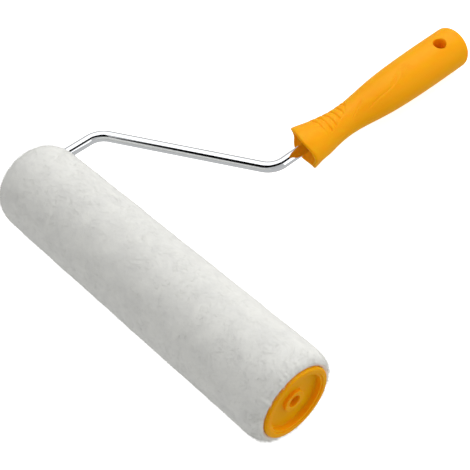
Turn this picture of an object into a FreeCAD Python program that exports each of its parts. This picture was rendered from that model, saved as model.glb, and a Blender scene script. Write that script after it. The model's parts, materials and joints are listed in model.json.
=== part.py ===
"""Paint roller: bent steel frame, moulded handle and a plush cover that turns on the frame's axle.

Everything is drawn in a flat design frame and set down on the table at the end:
X runs along the cover's axis from the arm towards the free end, Y from the cover towards the
handle, Z out of the frame's plane.  The cover's axis is Y = Z = 0 and the arm's centre line is X = 0.
Lengths are in millimetres.
"""
import FreeCAD
import Part
import math
import os

Vector = FreeCAD.Vector
X_AXIS = Vector(1, 0, 0)
Y_AXIS = Vector(0, 1, 0)
Z_AXIS = Vector(0, 0, 1)

# ---- cover -------------------------------------------------------------------------------
CORE_LENGTH = 250.0          # nominal cover length
CORE_OD = 48.0
CORE_WALL = 1.7
NAP_HEIGHT = 8.5
NAP_ARM_GAP = 2.4            # between the arm and the pile's end
NAP_OVERHANG_ARM = 5.6       # pile standing past the core's end at the arm
NAP_OVERHANG_FREE = 1.6      # and past the core's free end
NAP_ROUND_AXIAL = 13.0       # length over which the pile rounds off at each end
NAP_LIP = 1.6                # thickness left in the pile's edge at the cap
NAP_CAP_GAP = 0.3

# ---- end caps ----------------------------------------------------------------------------
CAP_FLANGE_OVER = 0.7        # flange radius beyond the core's outside
CAP_FLANGE_T = 3.4
CAP_LAND_WIDTH = 3.4         # outer raised land
CAP_STEP_WIDTH = 1.5         # second, lower land
CAP_STEP_DROP = 0.7
CAP_EDGE_R = 1.0
CAP_SPIGOT_LENGTH = 13.0
CAP_WEB_T = 1.6
CAP_RIB_COUNT = 6
CAP_RIB_T = 1.4
CAP_RIB_LENGTH = 8.0
FREE_WEB_DEPTH = 4.6         # recess depth of the cap at the free end
FREE_BOSS_DEPTH = 2.2        # how far the boss face lies below the rim
FREE_HUB_LENGTH = 22.0
ARM_BOSS_RISE = 2.1          # the cap at the arm is dished deeper, to clear the bend and collar
ARM_HUB_LENGTH = 20.0
HUB_OD = 14.8
SPIGOT_CLEARANCE = 0.05
RUNNING_CLEARANCE = 0.08     # radial, axle in hub
END_PLAY = 0.4               # axial, each side of the inner hub

# ---- frame rod ---------------------------------------------------------------------------
ROD_D = 8.0
ARM_REACH = 62.0             # cover axis to the arm's upper corner
HANDLE_OFFSET = 116.6        # arm centre line to the handle's axis
CROSS_RISE = 64.4            # rise of the cross bar over its run
BEND_R_AXLE = 12.0
BEND_R_ARM = 15.0
BEND_R_HANDLE = 15.0
TIP_RECESS = 9.0             # axle tip below the free cap's boss face
TIP_CHAMFER = 0.8
GROOVE_DEPTH = 0.5
GROOVE_WIDTH = 0.9
EAR_WIDTH = 11.0             # coined ears that stop the rod turning in the handle
EAR_LENGTH = 12.0
EAR_T = 2.6
EAR_FROM_END = 8.0

# ---- small parts on the axle -------------------------------------------------------------
COLLAR_OD = 14.0
COLLAR_LENGTH = 3.0
COLLAR_FROM_BEND = 0.6
COLLAR_FLANGE_T = 1.0
COLLAR_FLANGE_OD = 17.0
PRESS_CLEARANCE = 0.02
CLIP_OD = 15.5
CLIP_T = 0.7
CLIP_SLOT_COUNT = 6
CLIP_SLOT_WIDTH = 1.0
CLIP_SLOT_LENGTH = 2.2
CLIP_CLEARANCE = 0.05

# ---- handle ------------------------------------------------------------------------------
MOUTH_FROM_SHOULDER = 29.6   # rod's upper corner to the middle of the handle's mouth
MOUTH_SLANT = 22.0           # degrees; the thumb side reaches further forward
GRIP_LENGTH = 163.0          # middle of the mouth to the back end
RIM_R = 17.1
FLARE_FROM_MOUTH = 9.0
FLARE_R = 15.3
WAIST_FROM_MOUTH = 39.0
WAIST_R = 11.45
SWELL_FROM_MOUTH = 74.0
SWELL_R = 14.4
BELLY_FROM_MOUTH = 107.0
BELLY_R = 16.3
END_R = 16.7
END_EDGE_R = 2.4
FUNNEL_DEPTH = 10.0          # hollow behind the mouth
FUNNEL_FLOOR_R = 7.2
RIM_WALL = 2.2
ROD_SEAT_DEPTH = 82.0        # middle of the mouth to the bar's end
ROD_SEAT_CLEARANCE = 0.05
HANG_HOLE_D = 10.0
HANG_HOLE_FROM_END = 21.0
GRIP_TURN = 11.0             # degrees that the handle sits turned about the rod

# ---- worked out from the above -----------------------------------------------------------
ROD_R = ROD_D / 2
CORE_R = CORE_OD / 2
CORE_BORE_R = CORE_R - CORE_WALL
CORE_START = ROD_R + NAP_ARM_GAP + NAP_OVERHANG_ARM
CORE_END = CORE_START + CORE_LENGTH
NAP_R = CORE_R + NAP_HEIGHT
FLANGE_R = CORE_R + CAP_FLANGE_OVER
SPIGOT_R = CORE_BORE_R - SPIGOT_CLEARANCE
HUB_R = HUB_OD / 2
HUB_BORE_R = ROD_R + RUNNING_CLEARANCE
ARM_CAP_FACE = CORE_START - CAP_FLANGE_T
FREE_CAP_FACE = CORE_END + CAP_FLANGE_T
COLLAR_START = BEND_R_AXLE + COLLAR_FROM_BEND
COLLAR_END = COLLAR_START + COLLAR_LENGTH
ARM_HUB_FACE = COLLAR_END + END_PLAY
ARM_HUB_END = ARM_HUB_FACE + ARM_HUB_LENGTH
ARM_BOSS_DEPTH = ARM_HUB_FACE - ARM_CAP_FACE
ARM_WEB_DEPTH = ARM_BOSS_DEPTH + ARM_BOSS_RISE
CLIP_START = ARM_HUB_END + END_PLAY
AXLE_TIP = FREE_CAP_FACE - FREE_BOSS_DEPTH - TIP_RECESS
SHOULDER_Y = ARM_REACH + CROSS_RISE
MOUTH_Y = SHOULDER_Y + MOUTH_FROM_SHOULDER
GRIP_END_Y = MOUTH_Y + GRIP_LENGTH
FUNNEL_FLOOR_Y = MOUTH_Y + FUNNEL_DEPTH
ROD_END_Y = MOUTH_Y + ROD_SEAT_DEPTH
GRIP_AXIS = Vector(HANDLE_OFFSET, 0, 0)


def revolve(points, axis_point, axis_dir):
    """Turn a closed outline of points a full circle about an axis."""
    wire = Part.makePolygon(points + [points[0]])
    return Part.Face(wire).revolve(axis_point, axis_dir, 360)


def tube(outer_r, inner_r, x_start, length):
    """A plain ring about the cover's axis."""
    base = Vector(x_start, 0, 0)
    outer = Part.makeCylinder(outer_r, length, base, X_AXIS)
    inner = Part.makeCylinder(inner_r, length, base, X_AXIS)
    return outer.cut(inner)


def rounded_path(corners, radii):
    """Straight runs through the corners, joined by tangent arcs of the given radii."""
    edges = []
    start = corners[0]
    for index, radius in enumerate(radii, start=1):
        corner = corners[index]
        back = (corners[index - 1] - corner).normalize()
        ahead = (corners[index + 1] - corner).normalize()
        half_angle = back.getAngle(ahead) / 2
        run = radius / math.tan(half_angle)
        bisector = (back + ahead).normalize()
        centre = corner + bisector * (radius / math.sin(half_angle))
        arc_start = corner + back * run
        arc_end = corner + ahead * run
        arc_mid = centre - bisector * radius
        edges.append(Part.LineSegment(start, arc_start).toShape())
        edges.append(Part.Arc(arc_start, arc_mid, arc_end).toShape())
        start = arc_end
    edges.append(Part.LineSegment(start, corners[-1]).toShape())
    return Part.Wire(edges)


def make_frame_rod():
    """One bar: axle, arm, cross bar and the shank that is driven into the handle."""
    corners = [
        Vector(AXLE_TIP, 0, 0),
        Vector(0, 0, 0),
        Vector(0, ARM_REACH, 0),
        Vector(HANDLE_OFFSET, SHOULDER_Y, 0),
        Vector(HANDLE_OFFSET, ROD_END_Y, 0),
    ]
    path = rounded_path(corners, [BEND_R_AXLE, BEND_R_ARM, BEND_R_HANDLE])
    section = Part.Wire([Part.Circle(corners[0], X_AXIS, ROD_R).toShape()])
    rod = path.makePipeShell([section], True, True)
    rod = chamfer_ends(rod, [corners[0], corners[-1]])
    groove = tube(ROD_R + 1, ROD_R - GROOVE_DEPTH, CLIP_START, GROOVE_WIDTH)
    ears = ear_block(0, ROD_END_Y - EAR_FROM_END - EAR_LENGTH)
    return rod.cut(groove).fuse(ears).removeSplitter()


def chamfer_ends(rod, ends):
    """Break the sharp edge round each end of the bar."""
    edges = [e for e in rod.Edges if min((e.CenterOfMass - p).Length for p in ends) < TIP_CHAMFER]
    return rod.makeChamfer(TIP_CHAMFER, edges)


def ear_block(clearance, start_y):
    """Block across the shank from start_y to the ears' far end, grown by a clearance."""
    width = EAR_WIDTH + 2 * clearance
    thick = EAR_T + 2 * clearance
    length = ROD_END_Y - EAR_FROM_END + clearance - start_y
    corner = Vector(HANDLE_OFFSET - width / 2, start_y, -thick / 2)
    return Part.makeBox(width, length, thick, corner)


def make_stop_collar():
    """Flanged collar pressed on the axle beside the bend; the inner hub runs up to it."""
    bore_r = ROD_R + PRESS_CLEARANCE
    body = tube(COLLAR_OD / 2, bore_r, COLLAR_START, COLLAR_LENGTH)
    flange = tube(COLLAR_FLANGE_OD / 2, bore_r, COLLAR_END - COLLAR_FLANGE_T, COLLAR_FLANGE_T)
    return body.fuse(flange).removeSplitter()


def make_retaining_clip():
    """Slotted spring-steel ring that sits in the axle's groove behind the inner hub."""
    inner_r = ROD_R - GROOVE_DEPTH + CLIP_CLEARANCE
    start = CLIP_START + (GROOVE_WIDTH - CLIP_T) / 2
    clip = tube(CLIP_OD / 2, inner_r, start, CLIP_T)
    for index in range(CLIP_SLOT_COUNT):
        slot = Part.makeBox(CLIP_T, ROD_R + CLIP_SLOT_LENGTH, CLIP_SLOT_WIDTH)
        slot.translate(Vector(start, 0, -CLIP_SLOT_WIDTH / 2))
        slot.rotate(Vector(0, 0, 0), X_AXIS, index * 360 / CLIP_SLOT_COUNT)
        clip = clip.cut(slot)
    return clip


def make_core_tube():
    """Plastic tube that carries the plush."""
    return tube(CORE_R, CORE_BORE_R, CORE_START, CORE_LENGTH)


def nap_end(x_end, direction):
    """Outline of one rounded end of the pile, from the cap's flange out to full height."""
    inner_r = FLANGE_R + NAP_CAP_GAP
    lip_r = inner_r + NAP_LIP
    rise = NAP_R - lip_r
    steps = 8
    points = [Vector(x_end, inner_r, 0)]
    for step in range(steps + 1):
        angle = math.pi / 2 * step / steps
        x = x_end + direction * NAP_ROUND_AXIAL * (1 - math.cos(angle))
        points.append(Vector(x, lip_r + rise * math.sin(angle), 0))
    return points


def make_nap_sleeve():
    """The plush as one plain ring: bonded to the core, proud of it at both ends."""
    inner_r = FLANGE_R + NAP_CAP_GAP
    points = [
        Vector(CORE_END, inner_r, 0),
        Vector(CORE_END, CORE_R, 0),
        Vector(CORE_START, CORE_R, 0),
        Vector(CORE_START, inner_r, 0),
    ]
    points += nap_end(CORE_START - NAP_OVERHANG_ARM, 1)
    points += reversed(nap_end(CORE_END + NAP_OVERHANG_FREE, -1))
    return revolve(points, Vector(0, 0, 0), X_AXIS)


def make_end_cap(web_depth, boss_depth, hub_length):
    """Dished cap with a long hub; its face is at X = 0 and the core lies towards +X."""
    land_r = FLANGE_R - CAP_LAND_WIDTH
    dish_r = land_r - CAP_STEP_WIDTH
    spigot_end = CAP_FLANGE_T + CAP_SPIGOT_LENGTH
    spigot_inner = SPIGOT_R - CAP_WEB_T
    outline = [
        Vector(boss_depth, HUB_BORE_R, 0),
        Vector(boss_depth, HUB_R, 0),
        Vector(web_depth, HUB_R, 0),
        Vector(web_depth, dish_r, 0),
        Vector(CAP_STEP_DROP, dish_r, 0),
        Vector(CAP_STEP_DROP, land_r, 0),
        Vector(0, land_r, 0),
        Vector(0, FLANGE_R - CAP_EDGE_R, 0),
        Vector(CAP_EDGE_R * (1 - math.sqrt(0.5)), FLANGE_R - CAP_EDGE_R * (1 - math.sqrt(0.5)), 0),
        Vector(CAP_EDGE_R, FLANGE_R, 0),
        Vector(CAP_FLANGE_T, FLANGE_R, 0),
        Vector(CAP_FLANGE_T, SPIGOT_R, 0),
        Vector(spigot_end, SPIGOT_R, 0),
        Vector(spigot_end, spigot_inner, 0),
        Vector(web_depth + CAP_WEB_T, spigot_inner, 0),
        Vector(web_depth + CAP_WEB_T, HUB_R, 0),
        Vector(boss_depth + hub_length, HUB_R, 0),
        Vector(boss_depth + hub_length, HUB_BORE_R, 0),
    ]
    cap = revolve(outline, Vector(0, 0, 0), X_AXIS)
    rib_start = web_depth + CAP_WEB_T / 2
    rib_length = min(CAP_RIB_LENGTH, spigot_end - rib_start)
    hub_overlap = (HUB_R - HUB_BORE_R) / 2
    rib_height = spigot_inner + CAP_WEB_T / 2 - HUB_R + hub_overlap
    for index in range(CAP_RIB_COUNT):
        rib = Part.makeBox(rib_length, rib_height, CAP_RIB_T)
        rib.translate(Vector(rib_start, HUB_R - hub_overlap, -CAP_RIB_T / 2))
        rib.rotate(Vector(0, 0, 0), X_AXIS, index * 360 / CAP_RIB_COUNT)
        cap = cap.fuse(rib)
    return cap.removeSplitter()


def make_inner_end_cap():
    """Cap at the arm, dished deep enough for the bend and the stop collar."""
    cap = make_end_cap(ARM_WEB_DEPTH, ARM_BOSS_DEPTH, ARM_HUB_LENGTH)
    cap.translate(Vector(ARM_CAP_FACE, 0, 0))
    return cap


def make_outer_end_cap():
    """Cap at the free end, turned to face outwards."""
    cap = make_end_cap(FREE_WEB_DEPTH, FREE_BOSS_DEPTH, FREE_HUB_LENGTH)
    cap.rotate(Vector(0, 0, 0), Z_AXIS, 180)
    cap.translate(Vector(FREE_CAP_FACE, 0, 0))
    return cap


def grip_blank():
    """Outside of the handle before its mouth is cut: a turned, waisted bar."""
    overrun = RIM_R * math.tan(math.radians(MOUTH_SLANT)) + 1
    front = MOUTH_Y - overrun
    stations = [
        (front, RIM_R + 0.5),
        (MOUTH_Y + FLARE_FROM_MOUTH, FLARE_R),
        (MOUTH_Y + WAIST_FROM_MOUTH, WAIST_R),
        (MOUTH_Y + SWELL_FROM_MOUTH, SWELL_R),
        (MOUTH_Y + BELLY_FROM_MOUTH, BELLY_R),
        (GRIP_END_Y - END_EDGE_R, END_R),
    ]
    curve = Part.BSplineCurve()
    curve.interpolate([Vector(r, y, 0) for y, r in stations])
    edge_centre = Vector(END_R - END_EDGE_R, GRIP_END_Y - END_EDGE_R, 0)
    diagonal = Vector(math.sqrt(0.5), math.sqrt(0.5), 0) * END_EDGE_R
    edge_end = Vector(END_R - END_EDGE_R, GRIP_END_Y, 0)
    corner = Part.Arc(Vector(END_R, GRIP_END_Y - END_EDGE_R, 0), edge_centre + diagonal, edge_end)
    outline = [
        curve.toShape(),
        corner.toShape(),
        Part.LineSegment(edge_end, Vector(0, GRIP_END_Y, 0)).toShape(),
        Part.LineSegment(Vector(0, GRIP_END_Y, 0), Vector(0, front, 0)).toShape(),
        Part.LineSegment(Vector(0, front, 0), Vector(RIM_R + 0.5, front, 0)).toShape(),
    ]
    return Part.Face(Part.Wire(outline)).revolve(Vector(0, 0, 0), Y_AXIS, 360)


def mouth_cutter():
    """Everything in front of the slanted mouth plane."""
    size = 4 * RIM_R
    block = Part.makeBox(size, size, size, Vector(-size / 2, -size, -size / 2))
    block.rotate(Vector(0, 0, 0), X_AXIS, MOUTH_SLANT)
    block.translate(Vector(0, MOUTH_Y, 0))
    return block


def funnel_cutter():
    """Tapered hollow behind the mouth, round the rod."""
    reach = RIM_R * math.tan(math.radians(MOUTH_SLANT)) + 1
    mouth_r = RIM_R - RIM_WALL
    slope = (mouth_r - FUNNEL_FLOOR_R) / FUNNEL_DEPTH
    front_r = min(mouth_r + slope * reach, RIM_R - RIM_WALL / 2)
    outline = [
        Vector(0, FUNNEL_FLOOR_Y, 0),
        Vector(FUNNEL_FLOOR_R, FUNNEL_FLOOR_Y, 0),
        Vector(mouth_r, MOUTH_Y, 0),
        Vector(front_r, MOUTH_Y - reach, 0),
        Vector(0, MOUTH_Y - reach, 0),
    ]
    return revolve(outline, Vector(0, 0, 0), Y_AXIS)


def make_handle_grip():
    """Moulded handle: flared mouth, rod seat and hang hole."""
    grip = grip_blank().cut(mouth_cutter()).cut(funnel_cutter())
    hole_base = Vector(0, GRIP_END_Y - HANG_HOLE_FROM_END, -2 * END_R)
    grip = grip.cut(Part.makeCylinder(HANG_HOLE_D / 2, 4 * END_R, hole_base, Z_AXIS))
    grip.rotate(Vector(0, 0, 0), Y_AXIS, GRIP_TURN)
    grip.translate(GRIP_AXIS)
    seat_base = Vector(HANDLE_OFFSET, MOUTH_Y, 0)
    seat_length = ROD_END_Y + ROD_SEAT_CLEARANCE - MOUTH_Y
    seat = Part.makeCylinder(ROD_R + ROD_SEAT_CLEARANCE, seat_length, seat_base, Y_AXIS)
    track = ear_block(ROD_SEAT_CLEARANCE, MOUTH_Y)
    return grip.cut(seat).cut(track).removeSplitter()


def resting_tilt():
    """Angle, in degrees, that brings the handle's back end down to the cover's lowest line."""
    reach = GRIP_END_Y - END_EDGE_R
    drop = END_R - END_EDGE_R
    height = NAP_R - END_EDGE_R
    return math.degrees(math.asin(height / math.hypot(reach, drop)) - math.atan2(drop, reach))


def resting_placement():
    """Lay the tool on the table, with the origin under the middle of its box."""
    tilt = resting_tilt()
    sin_tilt = math.sin(math.radians(tilt))
    cos_tilt = math.cos(math.radians(tilt))
    x_low = -ROD_R
    x_high = FREE_CAP_FACE
    y_low = -NAP_R
    y_high = (GRIP_END_Y - END_EDGE_R) * cos_tilt + (END_R - END_EDGE_R) * sin_tilt + END_EDGE_R
    shift = Vector(-(x_low + x_high) / 2, -(y_low + y_high) / 2, NAP_R)
    return FreeCAD.Placement(shift, FreeCAD.Rotation(X_AXIS, -tilt))


PARTS = {
    "frame_rod": make_frame_rod,
    "handle_grip": make_handle_grip,
    "stop_collar": make_stop_collar,
    "retaining_clip": make_retaining_clip,
    "core_tube": make_core_tube,
    "nap_sleeve": make_nap_sleeve,
    "inner_end_cap": make_inner_end_cap,
    "outer_end_cap": make_outer_end_cap,
}


def main():
    """Build every piece, set it down on the table and write its STEP file."""
    os.makedirs("parts", exist_ok=True)
    placement = resting_placement()
    print("resting tilt", resting_tilt(), "shift", placement.Base)
    for name, make in PARTS.items():
        shape = make()
        solids = shape.Solids
        shape = solids[0] if len(solids) == 1 else Part.makeCompound(solids)
        shape.Placement = placement.multiply(shape.Placement)
        shape.exportStep("parts/" + name + ".step")
        print(name, "solids", len(solids), "volume", round(shape.Volume, 1), "valid", shape.isValid())


main()
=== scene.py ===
"""A 25 cm paint roller on a studio floor: plush cover, two end caps, plated frame bar and moulded handle.

Sizes are in millimetres in the roller's flat layout. X runs along the cover from the frame's arm to the
free end, Y from the cover to the handle, and Z up off the plane that the bar is bent in. Layout turns
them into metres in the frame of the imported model, where the roller rests on its cover and its handle.
"""

import json
import logging
import math
from dataclasses import dataclass, field
from enum import Enum

import bmesh
import bpy
import numpy as np
from mathutils import Matrix, Vector


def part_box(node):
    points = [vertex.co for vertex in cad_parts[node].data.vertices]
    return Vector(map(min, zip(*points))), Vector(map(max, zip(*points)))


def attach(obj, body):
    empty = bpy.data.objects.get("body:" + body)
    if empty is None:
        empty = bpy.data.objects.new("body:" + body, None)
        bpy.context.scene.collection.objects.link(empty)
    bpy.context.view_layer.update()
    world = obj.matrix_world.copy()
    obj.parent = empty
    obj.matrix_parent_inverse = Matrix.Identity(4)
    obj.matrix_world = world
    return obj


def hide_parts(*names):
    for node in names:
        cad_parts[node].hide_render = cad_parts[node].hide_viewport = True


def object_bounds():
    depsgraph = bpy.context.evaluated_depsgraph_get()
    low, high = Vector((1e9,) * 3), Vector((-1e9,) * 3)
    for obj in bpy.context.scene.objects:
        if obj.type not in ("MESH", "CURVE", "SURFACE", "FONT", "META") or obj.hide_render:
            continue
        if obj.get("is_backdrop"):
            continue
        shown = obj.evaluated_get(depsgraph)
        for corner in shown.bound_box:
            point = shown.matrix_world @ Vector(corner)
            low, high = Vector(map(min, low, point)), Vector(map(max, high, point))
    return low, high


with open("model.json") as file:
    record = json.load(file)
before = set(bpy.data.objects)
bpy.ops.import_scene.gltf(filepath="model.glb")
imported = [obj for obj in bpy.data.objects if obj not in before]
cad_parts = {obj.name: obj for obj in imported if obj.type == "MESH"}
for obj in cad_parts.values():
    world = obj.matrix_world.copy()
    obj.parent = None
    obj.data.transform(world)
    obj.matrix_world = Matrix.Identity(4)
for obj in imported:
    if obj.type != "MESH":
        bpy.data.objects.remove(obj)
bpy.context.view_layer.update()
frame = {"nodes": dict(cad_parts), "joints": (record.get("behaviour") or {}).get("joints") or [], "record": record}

LOG = logging.getLogger("paint_roller")
MM = 0.001
Socket = bpy.types.NodeSocket
Points = np.ndarray
NOISE, RANGE, BUMP = "ShaderNodeTexNoise", "ShaderNodeMapRange", "ShaderNodeBump"


class Body(Enum):
    """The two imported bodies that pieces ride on."""

    FRAME = "frame"
    COVER = "cover"


class End(Enum):
    """Which end of the cover a cap closes; the value is the side it faces along X."""

    ARM = -1
    FREE = 1


# ---------------------------------------------------------------- layout and meshes


@dataclass(frozen=True)
class Layout:
    """Where the roller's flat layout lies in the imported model.

    Attributes:
        origin: The point on the cover's axis under the arm's centre line, in metres.
        axes: Columns are the layout's X, Y and Z directions.
    """

    origin: np.ndarray
    axes: np.ndarray

    @classmethod
    def from_frame(cls, bar_radius: float) -> "Layout":
        """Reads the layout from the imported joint, the hang hole on the handle's axis and the bar's box.

        Args:
            bar_radius: Half the bar's diameter in millimetres.

        Returns:
            The layout in which all sizes below are given.
        """
        joint = frame["joints"][0]
        holes = [m for m in frame["record"]["mounts"] if m["name"] == "hang_hole"]
        origin = np.array(joint["pos_m"], float)
        along = np.array(joint["axis"], float)
        along /= np.linalg.norm(along)
        to_handle = np.array(holes[0]["pos_m"], float) - origin
        to_handle -= along * (to_handle @ along)
        to_handle /= np.linalg.norm(to_handle)
        origin[0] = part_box("frame_rod")[0].x + bar_radius * MM
        return cls(origin, np.stack([along, to_handle, np.cross(along, to_handle)], axis=1))

    def place(self, points: Points) -> Points:
        """Turns layout points in millimetres into packed-model points in metres."""
        return self.origin + (np.asarray(points, float) * MM) @ self.axes.T

    def span(self, node: str) -> tuple[float, float]:
        """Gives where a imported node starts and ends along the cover, in millimetres."""
        low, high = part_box(node)
        return (low.x - self.origin[0]) / MM, (high.x - self.origin[0]) / MM


def grid_faces(rows: int, columns: int, first: int = 0, loop_rows: bool = False) -> np.ndarray:
    """Lists the quads of a grid whose columns close on themselves.

    Args:
        rows: Number of rings.
        columns: Points in each ring.
        first: Index of the grid's first point.
        loop_rows: Whether the last ring joins the first.

    Returns:
        One row of four point indices for each quad.
    """
    row = np.arange(rows if loop_rows else rows - 1)[:, None]
    column = np.arange(columns)[None, :]
    after = (row + 1) % rows
    beside = (column + 1) % columns
    here, next_row = row * columns, after * columns
    corners = [here + column, here + beside, next_row + beside, next_row + column]
    return np.stack([np.broadcast_to(c, (len(row), columns)) for c in corners], axis=2).reshape(-1, 4) + first


def fan_faces(centre: int, ring_start: int, columns: int) -> np.ndarray:
    """Lists the triangles that close a ring on one centre point.

    Args:
        centre: The centre point's index.
        ring_start: Index of the ring's first point.
        columns: Points in the ring.

    Returns:
        One row of three point indices for each triangle.
    """
    here = np.arange(columns)
    beside = (here + 1) % columns
    return np.stack([np.full(columns, centre), ring_start + here, ring_start + beside], axis=1)


def make_piece(name: str, points: Points, face_sets: list[np.ndarray], layout: Layout) -> bpy.types.Object:
    """Makes a smooth mesh object from layout points.

    Args:
        name: The piece's name.
        points: Corner points in layout millimetres.
        face_sets: Arrays of faces, each with one number of corners.
        layout: Where the layout lies.

    Returns:
        The new object, with its outside facing out.
    """
    placed = layout.place(points).astype(np.float32)
    corners = np.concatenate([faces.ravel() for faces in face_sets])
    sides = np.concatenate([np.full(len(faces), faces.shape[1]) for faces in face_sets])
    starts = np.concatenate([[0], np.cumsum(sides)[:-1]])
    mesh = bpy.data.meshes.new(name)
    mesh.vertices.add(len(placed))
    mesh.vertices.foreach_set("co", placed.ravel())
    mesh.loops.add(len(corners))
    mesh.loops.foreach_set("vertex_index", corners.astype(np.int32))
    mesh.polygons.add(len(sides))
    mesh.polygons.foreach_set("loop_start", starts.astype(np.int32))
    mesh.update(calc_edges=True)
    mesh.validate()
    work = bmesh.new()
    work.from_mesh(mesh)
    bmesh.ops.recalc_face_normals(work, faces=work.faces)
    work.to_mesh(mesh)
    work.free()
    mesh.shade_smooth()
    piece = bpy.data.objects.new(name, mesh)
    bpy.context.scene.collection.objects.link(piece)
    return piece


def make_tube(name: str, rings: Points, ends: list, layout: Layout) -> bpy.types.Object:
    """Makes a piece from a row of rings, closed on one point at each end.

    Args:
        name: The piece's name.
        rings: Layout points by ring, column and coordinate.
        ends: The closing point of the first ring and of the last.
        layout: Where the layout lies.

    Returns:
        The new object.
    """
    count, columns = rings.shape[:2]
    middle = count * columns
    start_fan = fan_faces(middle, 0, columns)
    end_fan = fan_faces(middle + 1, middle - columns, columns)
    points = np.concatenate([rings.reshape(-1, 3), np.array(ends)])
    return make_piece(name, points, [grid_faces(count, columns), start_fan, end_fan], layout)


def round_corners(corners: list[tuple[float, float, float]], steps: int = 5) -> Points:
    """Rounds the corners of a closed outline.

    Args:
        corners: Each corner's two coordinates and the radius that it is rounded to, 0 for sharp.
        steps: Points on each rounded corner, less one.

    Returns:
        The outline's points, in order.
    """
    outline = []
    for index, (x, y, radius) in enumerate(corners):
        here = np.array([x, y])
        before = np.array(corners[index - 1][:2]) - here
        after = np.array(corners[(index + 1) % len(corners)][:2]) - here
        before /= np.linalg.norm(before)
        after /= np.linalg.norm(after)
        if radius <= 0:
            outline.append(here)
            continue
        half = math.acos(float(np.clip(before @ after, -1, 1))) / 2
        start = here + before * radius / math.tan(half)
        finish = here + after * radius / math.tan(half)
        middle = (before + after) / np.linalg.norm(before + after)
        centre = here + middle * radius / math.sin(half)
        for step in range(steps + 1):
            blend = step / steps
            spoke = (start - centre) * (1 - blend) + (finish - centre) * blend
            outline.append(centre + spoke / np.linalg.norm(spoke) * radius)
    return np.array(outline)


def turned_about_x(outline: Points, columns: int) -> Points:
    """Turns an outline of (x, radius) points about the cover's axis, one ring for each point.

    Args:
        outline: The outline, one row for each point.
        columns: Points in each ring.

    Returns:
        The points, ring by ring, in layout millimetres.
    """
    turn = np.linspace(0, 2 * math.pi, columns, endpoint=False)
    x = np.repeat(outline[:, 0:1], columns, axis=1)
    radius = outline[:, 1:2]
    return np.stack([x, radius * np.cos(turn), radius * np.sin(turn)], axis=2).reshape(-1, 3)


def smooth_step(value: Points, low: float, high: float) -> Points:
    """Rises smoothly from 0 at low to 1 at high."""
    share = np.clip((value - low) / (high - low), 0, 1)
    return share * share * (3 - 2 * share)


def curve_through(value: Points, knots: list[tuple[float, float]]) -> Points:
    """Evaluates the natural cubic curve through the knots, held level past its ends.

    Args:
        value: Where to evaluate it.
        knots: Pairs of position and height, in rising order.

    Returns:
        The curve's height at each value.
    """
    at, height = (np.array(column, float) for column in zip(*knots))
    gap = np.diff(at)
    count = len(at)
    system = np.eye(count)
    right = np.zeros(count)
    slope = np.diff(height) / gap
    for index in range(1, count - 1):
        system[index, index - 1 : index + 2] = [gap[index - 1], 2 * (gap[index - 1] + gap[index]), gap[index]]
        right[index] = 6 * (slope[index] - slope[index - 1])
    bend = np.linalg.solve(system, right)
    value = np.clip(value, at[0], at[-1])
    index = np.clip(np.searchsorted(at, value) - 1, 0, count - 2)
    width = gap[index]
    left = value - at[index]
    rest = at[index + 1] - value
    bent = (bend[index] * rest**3 + bend[index + 1] * left**3) / (6 * width)
    return (
        bent
        + (height[index] / width - bend[index] * width / 6) * rest
        + (height[index + 1] / width - bend[index + 1] * width / 6) * left
    )


class Waviness:
    """Seeded smooth noise in space, about -1 to 1, for shapes that vary by hand and by chance."""

    def __init__(self, seed: int) -> None:
        """Draws the table of slopes that the noise is made from."""
        rng = np.random.default_rng(seed)
        slopes = rng.normal(size=(256, 3))
        self.slopes = slopes / np.linalg.norm(slopes, axis=1)[:, None]
        self.order = rng.permutation(256)

    def at(self, points: Points, size: float) -> Points:
        """Evaluates the noise.

        Args:
            points: Where to evaluate it, one row of three coordinates for each.
            size: Distance between neighbouring humps, in the points' unit.

        Returns:
            One value for each point.
        """
        place = points / size
        base = np.floor(place).astype(int)
        inside = place - base
        ease = inside**3 * (inside * (inside * 6 - 15) + 10)
        total = np.zeros(len(points))
        for corner in np.ndindex(2, 2, 2):
            cell = (base + corner) & 255
            pick = self.order[(self.order[(self.order[cell[:, 0]] + cell[:, 1]) & 255] + cell[:, 2]) & 255]
            slope = (self.slopes[pick] * (inside - corner)).sum(axis=1)
            share = np.where(np.array(corner) == 1, ease, 1 - ease).prod(axis=1)
            total += slope * share
        return total * 1.5


# ---------------------------------------------------------------- finishes


def linear(hex_colour: str) -> tuple[float, float, float, float]:
    """Turns an sRGB hex colour such as "#FFA500" into linear red, green, blue and alpha.

    Args:
        hex_colour: The colour, with its leading mark.

    Returns:
        Four values from 0 to 1.
    """
    parts = [int(hex_colour[start : start + 2], 16) / 255 for start in (1, 3, 5)]
    flat = [p / 12.92 if p <= 0.04045 else ((p + 0.055) / 1.055) ** 2.4 for p in parts]
    return flat[0], flat[1], flat[2], 1.0


def per_metre(size_mm: float) -> float:
    """Gives a texture's scale from the real size of its pattern in millimetres."""
    return 1 / (size_mm * MM)


def add_node(
    tree: bpy.types.NodeTree, kind: str, settings: dict | None = None, links: dict | None = None
) -> bpy.types.Node:
    """Adds a shader node.

    Args:
        tree: The node tree that gets it.
        kind: Blender's name for the node type.
        settings: Values by socket name or number, or by property name.
        links: Output sockets to link in, by the name or number of the socket they go to.

    Returns:
        The new node.
    """
    node = tree.nodes.new(kind)
    for key, value in (settings or {}).items():
        if isinstance(key, int) or key in node.inputs:
            node.inputs[key].default_value = value
        else:
            setattr(node, key, value)
    for key, source in (links or {}).items():
        tree.links.new(source, node.inputs[key])
    return node


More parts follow.
